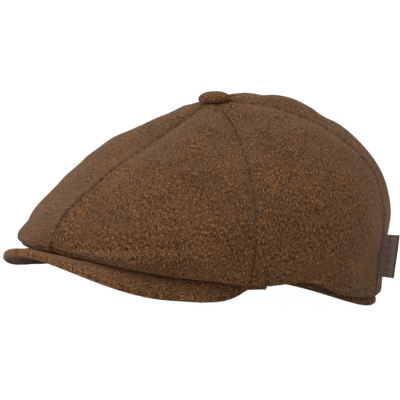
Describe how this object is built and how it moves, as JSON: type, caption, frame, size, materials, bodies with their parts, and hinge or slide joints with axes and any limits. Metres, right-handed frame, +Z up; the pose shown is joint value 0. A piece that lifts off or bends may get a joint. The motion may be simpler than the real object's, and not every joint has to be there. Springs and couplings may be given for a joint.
{
  "type": "newsboy cap",
  "caption": "Soft brown wool newsboy cap: puffed segmented crown with a covered top button, stiff curved visor, head band, satin lining and sweatband.",
  "frame": {"origin": "bottom centre of the cap's bounding box, on the table plane; the flat rear edge of the head band lies in z = 0", "axes": "+Z up, -Y towards the visor, +X towards the wearer's left"},
  "size_m": [0.2216, 0.252, 0.1259],
  "materials": {
    "wool": "brown heather wool flannel with a soft nap",
    "satin_lining": "dark brown satin",
    "sweatband_cloth": "dark brown cotton twill",
    "tape": "black-brown woven tape",
    "visor_plastic": "black moulded board",
    "button_metal": "plain pressed steel",
    "tab_webbing": "taupe grey woven tab",
    "label_cloth": "off-white woven label"
  },
  "bodies": {
    "root": {"crown_panel_front_left": "wool", "crown_panel_side_left": "wool", "crown_panel_back_left": "wool", "crown_panel_back_right": "wool", "crown_panel_side_right": "wool", "crown_panel_front_right": "wool", "lining_panel_front_left": "satin_lining", "lining_panel_side_left": "satin_lining", "lining_panel_back_left": "satin_lining", "lining_panel_back_right": "satin_lining", "lining_panel_side_right": "satin_lining", "lining_panel_front_right": "satin_lining", "head_band": "wool", "band_tape": "tape", "sweatband": "sweatband_cloth", "top_button_cover": "wool", "top_button_shell": "button_metal", "top_button_shank": "button_metal", "top_button_back_plate": "button_metal", "lining_patch": "label_cloth"},
    "visor": {"visor_upper_cover": "wool", "visor_board": "visor_plastic", "visor_under_cover": "wool"},
    "side_tab": {"side_tab": "tab_webbing"},
    "size_label": {"size_label": "label_cloth"}
  },
  "joints": [
    {"name": "visor_flex", "type": "hinge", "parent": "root", "child": "visor", "pos_m": [0, -0.0142, 0.0155], "axis": [1, 0, 0], "range_deg": [0, 8]},
    {"name": "side_tab_flap", "type": "hinge", "parent": "root", "child": "side_tab", "pos_m": [0.09248, 0.07356, 0.033], "axis": [0.0319, 0.0207, 0.9993], "range_deg": [-50, 50]},
    {"name": "size_label_flap", "type": "hinge", "parent": "root", "child": "size_label", "pos_m": [0, 0.1132, 0.022], "axis": [1, 0, 0], "range_deg": [-90, 0]}
  ]
}
